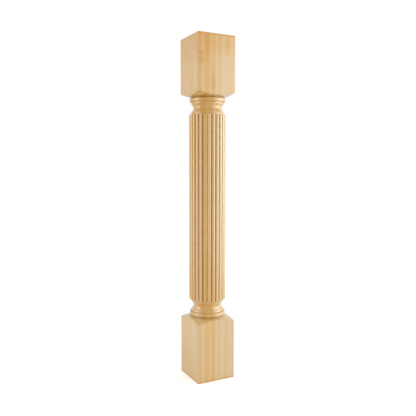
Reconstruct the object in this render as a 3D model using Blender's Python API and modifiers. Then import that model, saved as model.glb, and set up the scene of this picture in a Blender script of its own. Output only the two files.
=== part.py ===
"""A square post turned between its two blocks, with a reeded shaft.

The post is one piece of wood. It stands on the origin, its length runs up +Z, and the
faces of its blocks look along X and Y. The square blank is intersected with a turned
body, so the shoulders of the blocks end in the arcs that a lathe leaves on a square.
Everything is in metres.
"""

import math

import bmesh
import bpy

# Driving dimensions
POST_HEIGHT = 1.073
BLOCK_WIDTH = 0.127
LOWER_BLOCK_HEIGHT = 0.1846      # along its corner edge, up to where the shoulder starts
UPPER_BLOCK_HEIGHT = 0.1717
EASED_EDGE = 0.0008
SHOULDER_SLOPE = math.radians(19.8)

# Reeds
REED_COUNT = 26
REED_CREST_SETBACK = 0.0055      # of the reeds' crests from the faces of the blocks
GROOVE_DEPTH = 0.0040

# Turned mouldings at each end of the shaft, from the block towards the shaft
QUIRK_WIDTH = 0.0022
QUIRK_DEPTH = 0.0048             # from the crest of the roll to the foot of the shoulder
ROLL_SETBACK = 0.0066            # of the roll's crest from the faces of the blocks
ROLL_HEIGHT = 0.0122
ROLL_DEPTH = 0.0056
ROLL_FULLNESS = 2.8              # 2 is a half ellipse, more is flatter at the crest
OVOLO_HEIGHT = 0.0076
OVOLO_DEPTH = 0.0024
COVE_HEIGHT = 0.0110
COVE_DEPTH = 0.0048
OGEE_HEIGHT = 0.0178
OGEE_DEPTH = 0.0083
LIP_HEIGHT = 0.0020
LIP_STEP = 0.0012                # of the lip below the bottoms of the grooves

# Fineness of the faceted surface
EASED_SEGMENTS = 2
TURN_STEPS = 64
REED_SEGMENTS = 6
ROLL_SEGMENTS = 8
OVOLO_SEGMENTS = 4
COVE_SEGMENTS = 4
OGEE_SEGMENTS = 8

CUTTER_MARGIN = 0.010            # how far cutters reach past the wood
SHAFT_OVERLAP = 0.004            # how far the turned core reaches into the reeded shaft
WELD_DISTANCE = 0.00001
ARRIS_ANGLE = math.radians(28)   # faces that meet at more than this keep a sharp edge

WOOD_COLOUR = (0.63, 0.43, 0.24, 1.0)
WOOD_ROUGHNESS = 0.38

# Sizes that follow from them
HALF_WIDTH = BLOCK_WIDTH / 2
HALF_DIAGONAL = HALF_WIDTH * math.sqrt(2)
CREST_RADIUS = HALF_WIDTH - REED_CREST_SETBACK
VALLEY_RADIUS = CREST_RADIUS - GROOVE_DEPTH
LIP_RADIUS = VALLEY_RADIUS - LIP_STEP
NECK_RADIUS = LIP_RADIUS - OGEE_DEPTH
ROLL_RADIUS = HALF_WIDTH - ROLL_SETBACK
QUIRK_RADIUS = ROLL_RADIUS - QUIRK_DEPTH
SHOULDER_RISE = (HALF_DIAGONAL - QUIRK_RADIUS) * math.tan(SHOULDER_SLOPE)
MOULDING_HEIGHT = (QUIRK_WIDTH + ROLL_HEIGHT + OVOLO_HEIGHT + COVE_HEIGHT
                   + OGEE_HEIGHT + LIP_HEIGHT)
SHAFT_BOTTOM = LOWER_BLOCK_HEIGHT + SHOULDER_RISE + MOULDING_HEIGHT
SHAFT_TOP = POST_HEIGHT - UPPER_BLOCK_HEIGHT - SHOULDER_RISE - MOULDING_HEIGHT


def clear_scene():
    """Remove the objects that the file opens with."""
    for item in list(bpy.data.objects):
        bpy.data.objects.remove(item, do_unlink=True)


def new_collection(name):
    """A collection of that name under the scene's own."""
    collection = bpy.data.collections.new(name)
    bpy.context.scene.collection.children.link(collection)
    return collection


def wood_material():
    """Pale wood under a clear satin finish."""
    material = bpy.data.materials.new("clear_finished_wood")
    material.use_nodes = True
    shader = material.node_tree.nodes["Principled BSDF"]
    shader.inputs["Base Color"].default_value = WOOD_COLOUR
    shader.inputs["Roughness"].default_value = WOOD_ROUGHNESS
    shader.inputs["Metallic"].default_value = 0.0
    return material


def roll(start):
    """Points of the roll under the shoulder, a bead that is flattened at its crest."""
    points = []
    for i in range(ROLL_SEGMENTS + 1):
        angle = math.pi * i / ROLL_SEGMENTS
        across = abs(math.cos(angle)) ** ROLL_FULLNESS
        bulge = ROLL_DEPTH * (1 - across) ** (1 / ROLL_FULLNESS)
        along = start + ROLL_HEIGHT * (1 - math.cos(angle)) / 2
        points.append((along, ROLL_RADIUS - ROLL_DEPTH + bulge))
    return points


def ovolo(start):
    """Points of a quarter round that falls from its crest to the edge of the cove."""
    foot_radius = cove_radius_at(COVE_HEIGHT)
    points = []
    for i in range(OVOLO_SEGMENTS + 1):
        angle = math.pi / 2 * i / OVOLO_SEGMENTS
        along = start + OVOLO_HEIGHT * math.sin(angle)
        points.append((along, foot_radius + OVOLO_DEPTH * math.cos(angle)))
    return points


def cove_radius_at(rise):
    """Radius of the post where the cove, an arc upright at the neck, has risen that far."""
    arc_radius = (COVE_HEIGHT**2 + COVE_DEPTH**2) / (2 * COVE_DEPTH)
    return NECK_RADIUS + arc_radius - math.sqrt(arc_radius**2 - rise**2)


def moulding():
    """The turned profile from the foot of the shoulder to the end of the shaft.

    It returns (distance from the foot of the shoulder, radius): a quirk, the roll, an
    ovolo, the cove down to the neck, then an ogee that flares out to a lip.
    """
    points = [(0.0, QUIRK_RADIUS)]
    along = QUIRK_WIDTH
    points += roll(along)
    along += ROLL_HEIGHT
    points += ovolo(along)
    along += OVOLO_HEIGHT
    for i in range(1, COVE_SEGMENTS):
        rise = COVE_HEIGHT * (1 - i / COVE_SEGMENTS)
        points.append((along + COVE_HEIGHT - rise, cove_radius_at(rise)))
    along += COVE_HEIGHT
    for i in range(OGEE_SEGMENTS + 1):
        share = i / OGEE_SEGMENTS
        flare = OGEE_DEPTH * (1 - math.cos(math.pi * share)) / 2
        points.append((along + OGEE_HEIGHT * share, NECK_RADIUS + flare))
    points.append((MOULDING_HEIGHT, LIP_RADIUS))
    return points


def turned_body(collection):
    """The lathe's envelope of the whole post: wide at the blocks, a core in the shaft."""
    outer = HALF_DIAGONAL + CUTTER_MARGIN
    drop = CUTTER_MARGIN * math.tan(SHOULDER_SLOPE)
    upper_foot = POST_HEIGHT - UPPER_BLOCK_HEIGHT - SHOULDER_RISE
    lower_foot = LOWER_BLOCK_HEIGHT + SHOULDER_RISE
    profile = [(0.0, POST_HEIGHT + CUTTER_MARGIN), (outer, POST_HEIGHT + CUTTER_MARGIN)]
    profile.append((outer, POST_HEIGHT - UPPER_BLOCK_HEIGHT + drop))
    profile += [(radius, upper_foot - along) for along, radius in moulding()]
    profile.append((LIP_RADIUS, SHAFT_TOP - SHAFT_OVERLAP))
    profile.append((NECK_RADIUS, SHAFT_TOP - 2 * SHAFT_OVERLAP))
    profile.append((NECK_RADIUS, SHAFT_BOTTOM + 2 * SHAFT_OVERLAP))
    profile.append((LIP_RADIUS, SHAFT_BOTTOM + SHAFT_OVERLAP))
    profile += [(radius, lower_foot + along) for along, radius in reversed(moulding())]
    profile.append((outer, LOWER_BLOCK_HEIGHT - drop))
    profile += [(outer, -CUTTER_MARGIN), (0.0, -CUTTER_MARGIN)]

    mesh = bpy.data.meshes.new("turned_body")
    corners = [(radius, 0.0, height) for radius, height in profile]
    mesh.from_pydata(corners, [(i, i + 1) for i in range(len(corners) - 1)], [])
    body = bpy.data.objects.new("turned_body", mesh)
    collection.objects.link(body)
    screw = body.modifiers.new("turn", "SCREW")
    screw.steps = TURN_STEPS
    screw.render_steps = TURN_STEPS
    screw.use_merge_vertices = True
    screw.merge_threshold = WELD_DISTANCE
    return body


def reed_outline():
    """Points round the reeded shaft: one convex arc for each reed, meeting in valleys."""
    half_pitch = math.pi / REED_COUNT
    half_chord = VALLEY_RADIUS * math.sin(half_pitch)
    rise = CREST_RADIUS - VALLEY_RADIUS * math.cos(half_pitch)
    arc_radius = (half_chord**2 + rise**2) / (2 * rise)
    centre = CREST_RADIUS - arc_radius
    half_sweep = math.atan2(half_chord, VALLEY_RADIUS * math.cos(half_pitch) - centre)
    points = []
    for reed in range(REED_COUNT):
        turn = 2 * math.pi * reed / REED_COUNT
        for i in range(REED_SEGMENTS):
            angle = half_sweep * (2 * i / REED_SEGMENTS - 1)
            x = centre + arc_radius * math.cos(angle)
            y = arc_radius * math.sin(angle)
            points.append((x * math.cos(turn) - y * math.sin(turn),
                           x * math.sin(turn) + y * math.cos(turn)))
    return points


def reeded_shaft(collection):
    """The reeded outline, extruded between the two shaft ends and made a closed mesh."""
    outline = reed_outline()
    curve = bpy.data.curves.new("reed_outline", "CURVE")
    curve.dimensions = "2D"
    curve.fill_mode = "BOTH"
    curve.extrude = (SHAFT_TOP - SHAFT_BOTTOM) / 2
    spline = curve.splines.new("POLY")
    spline.points.add(len(outline) - 1)
    for point, (x, y) in zip(spline.points, outline):
        point.co = (x, y, 0.0, 1.0)
    spline.use_cyclic_u = True
    guide = bpy.data.objects.new("reed_outline", curve)
    guide.location.z = (SHAFT_TOP + SHAFT_BOTTOM) / 2
    collection.objects.link(guide)

    bpy.context.view_layer.update()
    evaluated = guide.evaluated_get(bpy.context.evaluated_depsgraph_get())
    mesh = bpy.data.meshes.new_from_object(evaluated)
    weld = bmesh.new()
    weld.from_mesh(mesh)
    bmesh.ops.remove_doubles(weld, verts=weld.verts, dist=WELD_DISTANCE)
    bmesh.ops.recalc_face_normals(weld, faces=weld.faces)
    weld.to_mesh(mesh)
    weld.free()
    shaft = bpy.data.objects.new("reeded_shaft", mesh)
    shaft.matrix_world = guide.matrix_world.copy()
    collection.objects.link(shaft)
    bpy.data.objects.remove(guide, do_unlink=True)
    bpy.data.curves.remove(curve)
    return shaft


def square_blank(collection):
    """The glued-up square that the post is turned from, its edges eased."""
    bpy.ops.mesh.primitive_cube_add(size=1, location=(0, 0, POST_HEIGHT / 2))
    blank = bpy.context.active_object
    blank.name = "reeded_post"
    blank.data.name = "reeded_post"
    blank.scale = (BLOCK_WIDTH, BLOCK_WIDTH, POST_HEIGHT)
    bpy.ops.object.transform_apply(location=True, rotation=False, scale=True)
    for owner in list(blank.users_collection):
        owner.objects.unlink(blank)
    collection.objects.link(blank)
    ease = blank.modifiers.new("eased edges", "BEVEL")
    ease.width = EASED_EDGE
    ease.segments = EASED_SEGMENTS
    return blank


def combine(target, other, operation, name):
    """Add a Boolean of that operation to the target, and hide the other shape."""
    step = target.modifiers.new(name, "BOOLEAN")
    step.operation = operation
    step.solver = "EXACT"
    step.object = other
    other.hide_render = True
    other.display_type = "WIRE"


def settle_shading(piece):
    """Fix the shaped mesh, smooth on its round faces and sharp at its arrises."""
    bpy.context.view_layer.update()
    evaluated = piece.evaluated_get(bpy.context.evaluated_depsgraph_get())
    shaped = bpy.data.meshes.new_from_object(evaluated)
    piece.modifiers.clear()
    piece.data = shaped
    shaped.name = piece.name
    shaped.shade_smooth()
    shaped.set_sharp_from_angle(angle=ARRIS_ANGLE)


def main():
    clear_scene()
    parts = new_collection("reeded_wooden_post")
    cutters = new_collection("cutters")
    turned = turned_body(cutters)
    shaft = reeded_shaft(cutters)
    post = square_blank(parts)
    wood = wood_material()
    for item in (turned, shaft, post):
        item.data.materials.clear()
        item.data.materials.append(wood)
    combine(turned, shaft, "UNION", "add the reeded shaft")
    combine(post, turned, "INTERSECT", "turn between the blocks")
    settle_shading(post)


main()
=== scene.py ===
import math

import bpy
import numpy as np
from mathutils import Matrix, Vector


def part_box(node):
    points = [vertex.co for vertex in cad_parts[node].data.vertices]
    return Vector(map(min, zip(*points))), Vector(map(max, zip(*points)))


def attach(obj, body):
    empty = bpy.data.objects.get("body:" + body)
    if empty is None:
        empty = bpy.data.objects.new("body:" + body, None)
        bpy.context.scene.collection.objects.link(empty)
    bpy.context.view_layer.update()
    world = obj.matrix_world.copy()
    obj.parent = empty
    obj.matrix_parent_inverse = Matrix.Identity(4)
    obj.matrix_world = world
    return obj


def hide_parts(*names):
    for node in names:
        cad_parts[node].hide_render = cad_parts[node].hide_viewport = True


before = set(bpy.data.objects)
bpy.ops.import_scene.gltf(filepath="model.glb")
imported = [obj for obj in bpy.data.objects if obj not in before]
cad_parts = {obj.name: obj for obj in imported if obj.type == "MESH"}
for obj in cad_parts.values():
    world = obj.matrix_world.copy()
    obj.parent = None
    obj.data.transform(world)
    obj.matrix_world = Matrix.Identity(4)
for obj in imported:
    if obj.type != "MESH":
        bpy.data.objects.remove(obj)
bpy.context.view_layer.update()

NODE = "reeded_post"
FINISH = "clear_finished_wood"

# Sizes of the turned post, in metres, as its solid has them
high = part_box(NODE)[1]
HALF = float(high[0])
HEIGHT = float(high[2])
DIAGONAL = HALF * math.sqrt(2)
LOWER_BLOCK, UPPER_BLOCK = 0.1846, 0.1717      # heights of the blocks at their corners
SLOPE = math.radians(19.8)                     # of the cones, from the level

# The shaft and the members of the moulding: radius, then rise and depth
REEDS = 26
CREST = HALF - 0.0055
GROOVE = 0.0040
VALLEY = CREST - GROOVE
LIP, LIP_RISE = VALLEY - 0.0012, 0.0020
OGEE_RISE, OGEE_DEPTH = 0.0178, 0.0083
NECK = LIP - OGEE_DEPTH
COVE_RISE, COVE_DEPTH = 0.0110, 0.0048
OVOLO_RISE, OVOLO_DEPTH = 0.0076, 0.0024
ROLL, ROLL_RISE, ROLL_DEPTH, ROLL_FULL = HALF - 0.0066, 0.0122, 0.0056, 2.8
QUIRK, QUIRK_RISE = ROLL - 0.0048, 0.0022
SHOULDER_RISE = (DIAGONAL - QUIRK) * math.tan(SLOPE)
MOULDING_RISE = QUIRK_RISE + ROLL_RISE + OVOLO_RISE + COVE_RISE + OGEE_RISE + LIP_RISE

# Small forms: the first is the solid's too, and the others are only here
EASE = 0.0008                          # rounding of the blocks' long edges and ends
ARRIS = 0.0005                         # rounding of the shoulder's edge
REED_END = 0.0004                      # rounding of the ends of the reeds
NOTCH, NOTCH_HALF = 0.0012, 0.0008     # scraped line along the bottom of each groove

# Columns and rings of the mesh
REED_COLUMNS = 12        # to a reed
CORNER_COLUMNS = 7       # along an eased corner
HOLD = 0.0125            # radians from a diagonal to the column that holds the flat
INNER_CORNER = 0.05 * EASE             # rounding of the end face's own corners
CLEAR = 0.0006           # from a rounding to the first ring past it
BLOCK_RINGS, SHAFT_RINGS = 12, 18
CONE_SHARES = (0.03, 0.2, 0.4, 0.6, 0.8, 0.93)
REED_END_TURNS = np.radians([0, 30, 60, 90])
SHARP = math.radians(32)               # edges that turn by more than this stay crisp

# How dark the tone of the turned wood is: shares from 0 to 1, and lengths in metres
FOOT_TURNED, FOOT_TOP, FOOT_FADE = 0.80, 0.30, 0.28    # the shaft's foot, and where it fades
# Painted light: the cones take a paler tone than the mouldings, to make up for light that falls
# short on them
LOWER_CONE_LIT_TONE, UPPER_CONE_LIT_TONE = 0.4, 0.1
# Painted shade: the share of darkening in the quirk, the crease under each block
QUIRK_SHADE = 0.15
MEAN_OVER, SUNK_FULL = 0.0035, 0.0016  # length of the profile's mean, depth of a full hollow
ROWS_BEFORE, ROWS_AFTER = 6, 4         # rows on each side of a moulding that its mean takes in

# How much painted shade lies in each groove, counted round from +X towards +Y
GROOVE_SHADE = (0.95, 1.05, 0.90, 1.00, 1.08, 0.94, 0.85, 1.02, 1.06, 0.92, 0.80, 0.60, 0.55,
                 0.45, 1.00, 1.20, 1.28, 0.30, 0.93, 1.00, 0.88, 0.80, 0.85, 1.04, 0.96, 0.90)


# The post's surface: rings of points, each a row of one grid

def column_angles():
    """Angles of the columns round the post, and the turn of each within an eased corner.

    A set number of columns share each reed evenly. At the four corners the column on the
    diagonal gives way to those along the eased edge, from 0 to 90 degrees of its arc, and
    to one on each side of them that holds the flat of the face. Elsewhere there is no turn.
    """
    columns = REEDS * REED_COLUMNS
    even = np.arange(columns) * (2 * math.pi / columns)
    even = even[np.abs(np.mod(even, math.pi / 2) - math.pi / 4) > 1e-4]
    arc = np.linspace(0, math.pi / 2, CORNER_COLUMNS)
    edge = np.arctan2(HALF - EASE + EASE * np.sin(arc), HALF - EASE + EASE * np.cos(arc))
    hold = math.pi / 4 + np.array([-HOLD, HOLD])
    quarter = np.arange(4)[:, None] * (math.pi / 2)
    angle = np.concatenate([even, (quarter + edge).ravel(), (quarter + hold).ravel()])
    turn = np.full(angle.size, np.nan)
    turn[even.size:even.size + 4 * arc.size] = np.tile(arc, 4)
    order = np.argsort(angle)
    return angle[order], turn[order]


ANGLE, TURN = column_angles()
COS, SIN = np.cos(ANGLE), np.sin(ANGLE)
QUARTER = np.floor(ANGLE / (math.pi / 2)) * (math.pi / 2)


def block_ring(rounding):
    """The square's outline with corners of that rounding about the same four centres.

    On a flat the ray at a column's angle meets a face at the centres' half width plus the
    rounding. In a corner the point is the rounding's centre plus the rounding times
    (cos, sin) of the column's turn.
    """
    half = HALF - EASE + rounding
    reach = half / np.maximum(np.abs(COS), np.abs(SIN))
    x, y = reach * COS, reach * SIN
    corner = ~np.isnan(TURN)
    u = HALF - EASE + rounding * np.cos(TURN[corner])
    v = HALF - EASE + rounding * np.sin(TURN[corner])
    turn = QUARTER[corner]
    x[corner] = u * np.cos(turn) - v * np.sin(turn)
    y[corner] = u * np.sin(turn) + v * np.cos(turn)
    return x, y


BLOCK_X, BLOCK_Y = block_ring(EASE)
BLOCK_REACH = np.hypot(BLOCK_X, BLOCK_Y)


def round_ring(reach, height):
    """A ring with that distance from the axis and that height, each a number or by column."""
    return reach * COS, reach * SIN, np.broadcast_to(height, COS.shape)


def reed_reach():
    """Radius of the reeded outline at each column.

    Each reed is an arc through its crest and both of its valleys. With c the distance of
    the arc's centre from the axis and q its radius, a ray at an angle t from the crest
    meets it at c cos t + the root of (q squared - (c sin t) squared). A notch, its depth
    times e to the minus square of the distance from the valley, sharpens each groove.
    """
    pitch = math.pi / REEDS
    chord, rise = VALLEY * math.sin(pitch), CREST - VALLEY * math.cos(pitch)
    arc = (chord**2 + rise**2) / (2 * rise)
    centre = CREST - arc
    away = np.mod(ANGLE + pitch, 2 * pitch) - pitch
    reach = centre * np.cos(away) + np.sqrt(arc**2 - (centre * np.sin(away)) ** 2)
    from_valley = (pitch - np.abs(away)) * VALLEY
    return reach - NOTCH * np.exp(-(from_valley / NOTCH_HALF) ** 2)


REED_REACH = reed_reach()


def moulding():
    """Rise and radius of the turned profile, from the foot of the shoulder to the shaft.

    A quirk, a roll (a superellipse), a quarter round that falls to the cove, the cove (an
    arc upright at the neck) and an ogee (half a cosine wave) that flares to a lip.
    """
    def cove(rise):
        arc = (COVE_RISE**2 + COVE_DEPTH**2) / (2 * COVE_DEPTH)
        return NECK + arc - np.sqrt(arc**2 - rise**2)

    a = np.linspace(0, math.pi, 25)
    roll = ROLL - ROLL_DEPTH + ROLL_DEPTH * (1 - np.abs(np.cos(a)) ** ROLL_FULL) ** (1 / ROLL_FULL)
    b = np.linspace(0, math.pi / 2, 9)
    ovolo = cove(COVE_RISE) + OVOLO_DEPTH * np.cos(b)
    c = np.linspace(COVE_RISE, 0, 10)[1:]
    d = np.linspace(0, 1, 21)[1:]
    ogee = NECK + OGEE_DEPTH * (1 - np.cos(math.pi * d)) / 2
    starts = np.cumsum([0, QUIRK_RISE, ROLL_RISE, OVOLO_RISE, COVE_RISE, OGEE_RISE])
    rise = np.concatenate([[0, QUIRK_RISE / 2], starts[1] + ROLL_RISE * (1 - np.cos(a)) / 2,
                           starts[2] + OVOLO_RISE * np.sin(b), starts[3] + COVE_RISE - c,
                           starts[4] + OGEE_RISE * d, [starts[5] + 0.6 * LIP_RISE, MOULDING_RISE]])
    radius = np.concatenate([[QUIRK, (QUIRK + ROLL - ROLL_DEPTH) / 2], roll, ovolo, cove(c),
                             ogee, [LIP, LIP]])
    return rise, radius


def half_post(block_height):
    """Rings of one end of the post, from the middle of its end face to the shaft.

    Each ring is (x, y, height above the end face). The eased end is a quarter round, the
    faces run up to the arc that the shoulder's cone cuts into them, and the cone falls to
    the quirk at the slope. Everything past it is turned, and so a radius for each height.
    """
    flat = np.zeros(COS.shape)
    x, y = block_ring(INNER_CORNER)
    rings = [(x * share, y * share, flat) for share in (0.2, 0.5, 0.8, 0.985, 1)]
    for turn in np.radians([15, 30, 45, 60, 75, 90]):
        x, y = block_ring(EASE * math.sin(turn))
        rings.append((x, y, flat + EASE * (1 - math.cos(turn))))

    top = block_height + (DIAGONAL - BLOCK_REACH) * math.tan(SLOPE)
    tangent = ARRIS * math.tan((math.pi / 2 - SLOPE) / 2)
    floor, ceiling = EASE + CLEAR, top - tangent - CLEAR
    for share in np.linspace(0, 1, BLOCK_RINGS):
        rings.append((BLOCK_X, BLOCK_Y, floor + (ceiling - floor) * share))
    for turn in np.linspace(0, math.pi / 2 - SLOPE, 5):
        reach = BLOCK_REACH - ARRIS * (1 - math.cos(turn))
        rings.append(round_ring(reach, top - tangent + ARRIS * math.sin(turn)))
    edge = BLOCK_REACH - ARRIS * (1 - math.sin(SLOPE))
    for share in CONE_SHARES:
        reach = edge + (QUIRK - edge) * share
        rings.append(round_ring(reach, block_height + (DIAGONAL - reach) * math.tan(SLOPE)))

    foot = block_height + SHOULDER_RISE
    rings += [round_ring(radius, foot + rise) for rise, radius in zip(*moulding())]
    end = foot + MOULDING_RISE
    for turn in REED_END_TURNS:
        reach = REED_REACH - REED_END * (1 - math.sin(turn))
        rings.append(round_ring(reach, end + REED_END * (1 - math.cos(turn))))
    return np.array(rings)


def shade_and_tone_shares(rings, first, last):
    """How much painted shade each point takes and how turned it is, from 0 to 1. The shaft is
    rows first to last.

    On the shaft the painted shade is how far the point lies below the reeds' crests, times the
    share listed for its groove. On the mouldings it is the root of how far the profile lies
    below its own mean over a short length of the post, and it tapers off towards the shaft.
    It darkens the colour where shade falls. What is turned is 1 on the mouldings, less on the
    cones, whose paler tone is painted light, and down the reeds, which grow darker towards the
    foot, and 0 on the sawn faces.
    """
    reach = np.hypot(rings[:, 0], rings[:, 1])
    hollow, turned = np.zeros_like(reach), np.zeros_like(reach)
    groove = (ANGLE * REEDS / (2 * math.pi)).astype(int)
    hollow[first:last] = (CREST - reach[first:last]) / GROOVE * np.array(GROOVE_SHADE)[groove]
    fade = np.clip((rings[first:last, 2] - FOOT_TOP) / FOOT_FADE, 0, 1)
    turned[first:last] = FOOT_TURNED - FOOT_TURNED * fade * fade * (3 - 2 * fade)

    count, cone = len(moulding()[0]), len(CONE_SHARES)
    # Painted light: the cones take a paler tone than the mouldings
    turned[first - count - cone:first - count] = LOWER_CONE_LIT_TONE
    turned[last + count:last + count + cone] = UPPER_CONE_LIT_TONE
    fall = np.linspace(1.0, 0.0, count)
    for start, taper in ((first - count, fall), (last, fall[::-1])):
        part = slice(start, start + count)
        wide = slice(start - ROWS_BEFORE, start + count + ROWS_AFTER)
        turned[part] = 1.0
        level, around_level = rings[part, 2, 0], rings[wide, 2].mean(axis=1)
        weight = np.exp(-((level[:, None] - around_level) / MEAN_OVER) ** 2)
        weight *= np.abs(np.gradient(around_level))
        mean = (weight * reach[wide].mean(axis=1)).sum(axis=1) / weight.sum(axis=1)
        sunk = np.clip((mean - reach[part, 0]) / SUNK_FULL, 0, 1)
        sunk = np.where(taper == 1.0, QUIRK_SHADE, sunk) * taper
        hollow[part] = sunk[:, None] ** 0.5
    return hollow, turned


def ring_faces(rows, columns):
    """Four-sided faces between the rings, and three-sided ones round each end's middle.

    The rings' points are counted row by row, and the two middles come after them.
    """
    row, column = np.meshgrid(np.arange(rows - 1), np.arange(columns), indexing="ij")
    here = (row * columns + column).ravel()
    beside = (row * columns + (column + 1) % columns).ravel()
    sides = np.stack([here, beside, beside + columns, here + columns], axis=1)
    ring = np.arange(columns)
    after = (ring + 1) % columns
    middle, top = np.full(columns, rows * columns), (rows - 1) * columns
    under = np.stack([after, ring, middle], axis=1)
    over = np.stack([top + ring, top + after, middle + 1], axis=1)
    return sides.tolist() + under.tolist() + over.tolist()


def post_surface():
    """The whole post as one closed mesh: both ends, the upper turned over, and the shaft."""
    lower, upper = half_post(LOWER_BLOCK), half_post(UPPER_BLOCK)
    upper[:, 2] = HEIGHT - upper[:, 2]
    bottom, top = lower[-1, 2].max() + CLEAR, upper[-1, 2].min() - CLEAR
    levels = np.linspace(bottom, top, SHAFT_RINGS)
    shaft = np.array([round_ring(REED_REACH, level) for level in levels])
    rings = np.concatenate([lower, shaft, upper[::-1]])
    first = len(lower) - len(REED_END_TURNS)
    last = len(lower) + len(shaft) + len(REED_END_TURNS)
    hollow, turned = shade_and_tone_shares(rings, first, last)
    points = rings.transpose(0, 2, 1).reshape(-1, 3)
    points = np.concatenate([points, [(0, 0, 0), (0, 0, HEIGHT)]])
    faces = ring_faces(rings.shape[0], rings.shape[2])
    return points, faces, np.append(hollow, [0, 0]), np.append(turned, [0, 0])


def add_post():
    """Put the surface into a mesh, with each point's painted shade, turned share and end grain."""
    points, faces, hollow, turned = post_surface()
    mesh = bpy.data.meshes.new("turned_reeded_post")
    mesh.from_pydata(points, [], faces)
    mesh.shade_smooth()
    mesh.set_sharp_from_angle(angle=SHARP)
    normal = np.empty(3 * len(points))
    mesh.vertices.foreach_get("normal", normal)
    shares = {"hollow": hollow, "turned": turned, "end_grain": np.abs(normal[2::3])}
    for name, values in shares.items():
        attribute = mesh.attributes.new(name, "FLOAT", "POINT")
        attribute.data.foreach_set("value", values.astype(np.float32))
    post = bpy.data.objects.new("turned_reeded_post", mesh)
    bpy.context.scene.collection.objects.link(post)
    return post


# Materials: expressions on sockets

class Value:
    """A socket of a node tree, whose arithmetic adds Math nodes."""

    def __init__(self, shader, socket):
        self.shader, self.socket = shader, socket

    def math(self, operation, *others):
        return self.shader.math(operation, self, *others)

    def __add__(self, other):
        return self.math("ADD", other)

    def __sub__(self, other):
        return self.math("SUBTRACT", other)

    def __rsub__(self, other):
        return self.shader.math("SUBTRACT", other, self)

    def __mul__(self, other):
        return self.math("MULTIPLY", other)

    def __truediv__(self, other):
        return self.math("DIVIDE", other)

    def __rtruediv__(self, other):
        return self.shader.math("DIVIDE", other, self)

    def __pow__(self, other):
        return self.math("POWER", other)

    def __rpow__(self, other):
        return self.shader.math("POWER", other, self)

    __radd__ = __add__
    __rmul__ = __mul__

    def clamp(self, low=0.0, high=1.0):
        return self.math("MAXIMUM", low).math("MINIMUM", high)

    def ramp(self, start, end):
        """0 below the start, 1 above the end, a smooth step between."""
        return self.shader.node("ShaderNodeMapRange", {"interpolation_type": "SMOOTHSTEP"},
                                (self, start, end, 0.0, 1.0))


class Shader:
    """The node tree of a material, or of the world."""

    def __init__(self, owner):
        owner.use_nodes = True
        self.tree = owner.node_tree

    def feed(self, socket, value):
        """A link where the value is a socket's, else the socket's own constant."""
        if isinstance(value, Value):
            self.tree.links.new(value.socket, socket)
        elif socket.type == "RGBA" and isinstance(value, tuple):
            socket.default_value = (*value, 1.0)
        else:
            socket.default_value = value

    def node(self, kind, settings=(), inputs=(), output=0):
        """A node of that kind with its settings and its sockets, by place or by name."""
        node = self.tree.nodes.new(kind)
        for name, value in dict(settings).items():
            if name == "stops":
                elements = node.color_ramp.elements
                for at, (position, shade) in enumerate(value):
                    stop = elements[at] if at < 2 else elements.new(position)
                    stop.position = position
                    colour = shade if isinstance(shade, tuple) else (shade, shade, shade)
                    stop.color = (*colour, 1.0)
            elif name == "between":
                node.color_ramp.interpolation = value
            else:
                setattr(node, name, value)
        pairs = inputs.items() if isinstance(inputs, dict) else enumerate(inputs)
        for key, value in pairs:
            self.feed(node.inputs[key], value)
        return Value(self, node.outputs[output])

    def set(self, **sockets):
        """Feed the Principled shader's own sockets, named with underscores for spaces."""
        for name, value in sockets.items():
            self.feed(self.tree.nodes["Principled BSDF"].inputs[name.replace("_", " ")], value)

    def math(self, operation, *values):
        return self.node("ShaderNodeMath", {"operation": operation}, values)

    def attribute(self, name):
        return self.node("ShaderNodeAttribute", {"attribute_name": name}, output="Fac")

    def combine(self, x, y, z):
        return self.node("ShaderNodeCombineXYZ", inputs=(x, y, z))

    def noise(self, vector, detail=2.0, roughness=0.5, scale=1.0):
        return self.node("ShaderNodeTexNoise", inputs={
            "Vector": vector, "Scale": scale, "Detail": detail, "Roughness": roughness})

    def mix(self, share, first, second, blend="MIX"):
        """Colours mixed by a share: the Mix node's own factor and its two colour sockets."""
        return self.node("ShaderNodeMix", {"data_type": "RGBA", "blend_type": blend},
                         {0: share, 6: first, 7: second}, output=2)


# Staves from the -X face to the +X face: where each begins in millimetres, and its tone
# near the lower end and near the upper end
STAVES = ((-63.5, 0.38, 0.66), (-51.5, 0.14, 0.38), (-41.0, 0.50, 0.72), (-27.0, 0.28, 0.40),
          (-17.0, 0.48, 0.50), (-6.0, 0.12, 0.16), (4.0, 0.18, 0.40), (14.0, 0.0, 0.12),
          (29.0, 0.26, 0.20), (42.0, 0.04, 0.18), (55.0, 0.20, 0.22))

# Marks in the blocks' wood: the middle and the reach of each along X, Y and Z in
# millimetres, and how much darker it is, or paler where that is less than nothing
MARKS = (((-53, -64, 1012), (16, 14, 9), 0.48), ((-52, -64, 991), (15, 14, 12), 0.52),
         ((-55, -64, 1000), (8, 12, 34), 0.18), ((-34, -64, 1045), (8, 22, 70), 0.24),
         ((-13, -64, 924), (10, 16, 34), 0.40), ((-14, -64, 956), (5, 12, 30), 0.22),
         ((35, -64, 1042), (10, 16, 36), 0.28), ((-64, -43, 938), (12, 10, 62), -0.40),
         ((-65, 0, 985), (6, 90, 170), -0.14), ((-64, 30, 1010), (14, 34, 26), 0.12),
         ((-64, 34, 62), (16, 44, 56), 0.22), ((-64, -28, 150), (14, 26, 60), -0.18))

HALF_MM, WIDTH_MM = 63.5, 127.0      # of the post, for the staves' places


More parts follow.
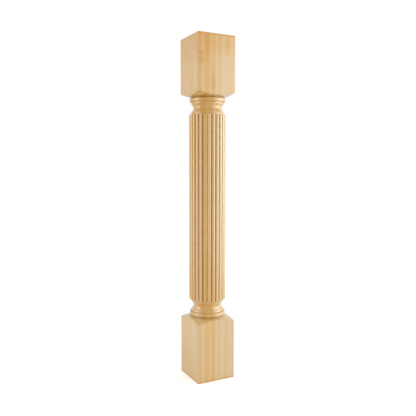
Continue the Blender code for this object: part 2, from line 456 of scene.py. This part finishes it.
def wood():
    """Maple-like staves side by side along X, with rings, fibres, rays and a satin coat.

    All lengths in the tree are millimetres. Each stave takes its tone from a stepped ramp
    across X, and the same number shifts its rings and its fibres.
    """
    material = bpy.data.materials.new(FINISH)
    s = Shader(material)
    place = s.node("ShaderNodeTexCoord", output="Object")
    mm = s.node("ShaderNodeVectorMath", {"operation": "SCALE"}, {"Vector": place, "Scale": 1000.0})
    x, y, z = (s.node("ShaderNodeSeparateXYZ", inputs=(mm,), output=axis) for axis in "XYZ")
    hollow, turned, end_grain = (s.attribute(name) for name in ("hollow", "turned", "end_grain"))

    # A slow wander of the grain, so that joints and rings aren't ruled lines
    wander = (s.noise(s.combine(x * 0.012, y * 0.012, z * 0.0042), 1.0) - 0.5) * 9.0
    across = (x + wander * 0.3 + HALF_MM) / WIDTH_MM
    height = z.ramp(200.0, 900.0)

    starts = [(stave[0] + HALF_MM) / WIDTH_MM for stave in STAVES]
    middles = [(start + end) / 2 for start, end in zip(starts, starts[1:] + [1.0])]

    def tones(between, places, which, shift=0.0):
        stops = [(place, stave[which]) for place, stave in zip(places, STAVES)]
        return s.node("ShaderNodeValToRGB", {"between": between, "stops": stops},
                      (across + shift,))

    stave = tones("CONSTANT", starts, 1)
    soft = tones("EASE", middles, 1) * (1 - height) + tones("EASE", middles, 2) * height
    plain = stave * (1 - height) + tones("CONSTANT", starts, 2) * height
    joint = (tones("CONSTANT", starts, 1, 0.0025) - stave).math("ABSOLUTE").ramp(0.0, 0.01)

    # Rings about a pith outside each stave, closest where the stave's number is high
    far = 70.0 + stave * 90.0
    side = (stave * 7.3).math("FRACT") * 120.0 - 60.0
    dx, dy = x + far, y + side
    ring = ((dx * dx + dy * dy).math("SQRT") + wander) / (2.4 + stave * 1.8)
    late = (ring.math("FRACT") ** 3.0) * (1 - (ring.math("FRACT")).ramp(0.93, 1.0))
    uneven = s.noise(s.combine(ring * 0.45, stave * 40.0, z * 0.002), 1.0)
    late = late * uneven.ramp(0.30, 0.75)

    # Long fibres, short ray flecks, broad streaks along the grain, a faint curl across it
    fibre = s.noise(s.combine(x * 2.1 + stave * 31.0, y * 2.1, z * 0.030), 3.0, 0.65)
    fleck = s.noise(s.combine(x * 1.4, y * 1.4 + stave * 17.0, z * 0.20), 2.0, 0.5).ramp(0.60, 0.72)
    streak = s.noise(s.combine(x * 0.13 + stave * 9.0, y * 0.10, z * 0.0030), 2.0, 0.55)
    curl = s.noise(s.combine(x * 0.03, y * 0.03, z * 0.11), 2.0, 0.5)
    ripple = s.noise(s.combine(x * 0.07, y * 0.07, z * 0.16), 2.0, 0.6)

    # Each mark is an ellipsoid with a ragged edge
    warp = (s.noise(s.combine(x * 0.10, y * 0.10, z * 0.055), 2.0, 0.6) - 0.5) * 12.0
    figure = 0.0
    for middle, span, strength in MARKS:
        u, v, w = ((part - at) / reach for part, at, reach in
                   zip((x + warp, y, z + (ripple - 0.5) * 22.0), middle, span))
        figure = (1 - (u * u + v * v + w * w).math("SQRT").ramp(0.1, 1.25)) * strength + figure

    # The tone, from pale at 0 to dark at 1: what is turned and both ends are darker
    tone = soft * 0.5 + plain * 0.5 + joint * 0.12
    tone = tone + (streak - 0.5) * 0.30 + late * 0.26 + (fibre - 0.5) * 0.42
    tone = tone + figure * (0.55 + ripple * 0.9) + (curl - 0.5) * 0.10
    tone = tone + z.ramp(985.0, 1050.0) * 0.26 + turned * 0.22
    tone = tone + ((1 - z.ramp(2.0, 8.0)) + z.ramp(1065.0, 1071.0)) * 0.45
    sawn_end = end_grain.ramp(0.96, 0.995)
    tone = tone + end_grain.ramp(0.6, 1.0) * (late * 0.35 - 0.12) + sawn_end * 0.12

    # Pale wood to golden, flecks in it, and painted shade in the grooves and hollows
    colour = s.node("ShaderNodeValToRGB", {"between": "LINEAR", "stops": [
        (0.0, (0.687, 0.510, 0.310)), (0.27, (0.682, 0.453, 0.187)), (0.50, (0.657, 0.378, 0.096)),
        (0.80, (0.618, 0.304, 0.042)), (1.0, (0.580, 0.268, 0.024))]}, ((tone * 0.8).clamp(),))
    colour = s.mix(fleck * 0.24, colour, (0.56, 0.36, 0.18))
    # Painted shade: the colour is darkened in the grooves, the quirk and the mouldings' hollows,
    # where shade falls, and more so higher up the shaft
    painted_shade = hollow.clamp() ** 2.4
    share = painted_shade * (0.69 + z.ramp(220.0, 620.0) * 0.23)
    colour = s.mix(share, colour, (0.53, 0.29, 0.09), "MULTIPLY")

    rough = 0.37 + fibre * 0.10 + painted_shade * 0.12 + sawn_end * 0.45
    relief = fibre * 0.5 + late * 0.25 - fleck * 0.2 - joint * 0.3 + curl * 0.2
    bump = s.node("ShaderNodeBump", inputs={
        "Strength": 0.22, "Distance": 0.00012, "Height": relief})
    coat = (1 - sawn_end * 0.95) * (1 - painted_shade * 0.95)
    s.set(Base_Color=colour, Roughness=rough, Normal=bump, Specular_IOR_Level=0.5,
          Coat_Weight=coat, Coat_Roughness=0.19, Coat_IOR=1.55)
    return material


FLOOR_GLOW, FOR_WOOD = 0.40, 0.25      # the floor's glow, and the share that the wood gets


def pale_floor():
    """Matt pale paper that glows: fully for the eye, and a quarter as much for the wood."""
    material = bpy.data.materials.new("pale_floor")
    s = Shader(material)
    place = s.node("ShaderNodeTexCoord", output="Object")
    tint = s.noise(place, 2.0, 0.5, 3.0)
    colour = s.mix(tint, (0.82, 0.82, 0.82), (0.85, 0.85, 0.85))
    seen = s.node("ShaderNodeLightPath", output="Is Camera Ray")
    s.set(Base_Color=colour, Roughness=0.9, Specular_IOR_Level=0.1,
          Emission_Color=seen * (1 - FOR_WOOD) + FOR_WOOD, Emission_Strength=FLOOR_GLOW)
    return material


post = add_post()
post.data.materials.append(wood())
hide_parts(NODE)
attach(post, "root")


# Floor, lights and camera

FLOOR_HALF = 30          # metres


def add_floor():
    """A wide flat square, its top at the post's underside."""
    mesh = bpy.data.meshes.new("studio_floor")
    corners = [(u * FLOOR_HALF, v * FLOOR_HALF, 0) for u, v in ((-1, -1), (1, -1), (1, 1), (-1, 1))]
    mesh.from_pydata(corners, [], [(0, 1, 2, 3)])
    mesh.materials.append(pale_floor())
    floor = bpy.data.objects.new("studio_floor", mesh)
    bpy.context.scene.collection.objects.link(floor)


# The camera, fitted to the post's outlines: its turns, its place, and in pixels of the
# square image the focal length and the shift
YAW, PITCH, LEAN = math.radians(27.489), math.radians(3.961), math.radians(0.075)
CAMERA_ASIDE, CAMERA_AWAY, CAMERA_HEIGHT = -0.00218, 1.6310, 0.6703
IMAGE, FOCAL, SHIFT, SENSOR = 416, 512.97, -5.0, 36.0


def add_camera():
    """The camera looks along +Y turned clockwise by the yaw, and down by the pitch.

    It stands back from the post's axis by the length away, and aside by the other one.
    """
    c, s = math.cos(YAW), math.sin(YAW)
    place = Matrix.Translation((-(c * CAMERA_ASIDE + s * CAMERA_AWAY),
                                s * CAMERA_ASIDE - c * CAMERA_AWAY, CAMERA_HEIGHT))
    data = bpy.data.cameras.new("camera")
    data.sensor_width = SENSOR
    data.lens = FOCAL * SENSOR / IMAGE
    data.shift_y = SHIFT / IMAGE
    camera = bpy.data.objects.new("camera", data)
    camera.matrix_world = (place @ Matrix.Rotation(-YAW, 4, "Z")
                           @ Matrix.Rotation(math.pi / 2 - PITCH, 4, "X")
                           @ Matrix.Rotation(LEAN, 4, "Z"))
    bpy.context.scene.collection.objects.link(camera)
    bpy.context.scene.camera = camera


AIM = 0.5                # height on the post that the lights are aimed at


def add_softbox(name, azimuth, distance, height, wide, tall, watts, sheen_only=False):
    """A rectangular light, that many degrees from the camera's side, aimed at the post.

    One that is for the sheen only gives highlights, and no light of its own to the wood.
    """
    data = bpy.data.lights.new(name, "AREA")
    data.shape = "RECTANGLE"
    data.size, data.size_y = wide, tall
    data.energy = watts
    lamp = bpy.data.objects.new(name, data)
    turn = math.radians(azimuth) - math.pi / 2 - YAW
    down = math.atan2(height - AIM, distance)
    lamp.visible_diffuse = not sheen_only
    place = Matrix.Translation((distance * math.cos(turn), distance * math.sin(turn), height))
    lamp.matrix_world = (place @ Matrix.Rotation(turn + math.pi / 2, 4, "Z")
                         @ Matrix.Rotation(math.pi / 2 - down, 4, "X"))
    bpy.context.scene.collection.objects.link(lamp)


# The surround's strength on its bright and dim side and overhead, and how much darker
# reflections show the side of the room that the photograph is taken from
NEAR_GLOW, FAR_GLOW, TOP_GLOW = 1.19, 1.02, 0.6
DIM_SIDE = YAW - math.radians(35)
ROOM_SIDE, ROOM_SHADE = YAW + math.pi, 0.8


def add_world():
    """A white surround for the eye. The light that it gives is dimmest behind and left.

    It follows the cosine between a direction and the level one behind the post and left,
    and falls by a share of the direction's height. Reflections show it darker towards the
    unlit side of the room. Both sides are fixed, whatever the view.
    """
    world = bpy.data.worlds.new("studio")
    s = Shader(world)
    toward = s.node("ShaderNodeTexCoord", output="Generated")

    def cosine(azimuth):
        level = (math.sin(azimuth), math.cos(azimuth), 0.0)
        return s.node("ShaderNodeVectorMath", {"operation": "DOT_PRODUCT"}, (toward, level),
                      output="Value")

    glow = cosine(DIM_SIDE).ramp(-0.3, 0.95) * (FAR_GLOW - NEAR_GLOW) + NEAR_GLOW
    up = s.node("ShaderNodeSeparateXYZ", inputs=(toward,), output="Z").clamp()
    for_eye = s.node("ShaderNodeLightPath", output="Is Camera Ray")
    for_sheen = s.node("ShaderNodeLightPath", output="Is Glossy Ray")
    shade = cosine(ROOM_SIDE).ramp(0.70, 0.95) * for_sheen * ROOM_SHADE
    strength = glow * (1 - up * (1 - TOP_GLOW)) * (1 - shade)
    light, white = (s.node("ShaderNodeBackground", inputs=((1.0, 1.0, 1.0), power))
                    for power in (strength, 1.0))
    seen = s.node("ShaderNodeMixShader", inputs=(for_eye, light, white))
    s.feed(s.tree.nodes["World Output"].inputs["Surface"], seen)
    bpy.context.scene.world = world


add_floor()
add_camera()
add_world()
add_softbox("left_softbox", azimuth=-92, distance=1.5, height=0.60, wide=0.50, tall=1.7, watts=2.8)
add_softbox("right_softbox", azimuth=100, distance=1.5, height=0.52, wide=1.30, tall=1.7,
            watts=11.2)
add_softbox("left_window", azimuth=-72, distance=1.6, height=0.70, wide=0.22, tall=1.9, watts=10,
            sheen_only=True)
add_softbox("right_window", azimuth=77, distance=1.6, height=0.60, wide=0.85, tall=1.9, watts=16,
            sheen_only=True)
bpy.context.scene.view_settings.view_transform = "Standard"
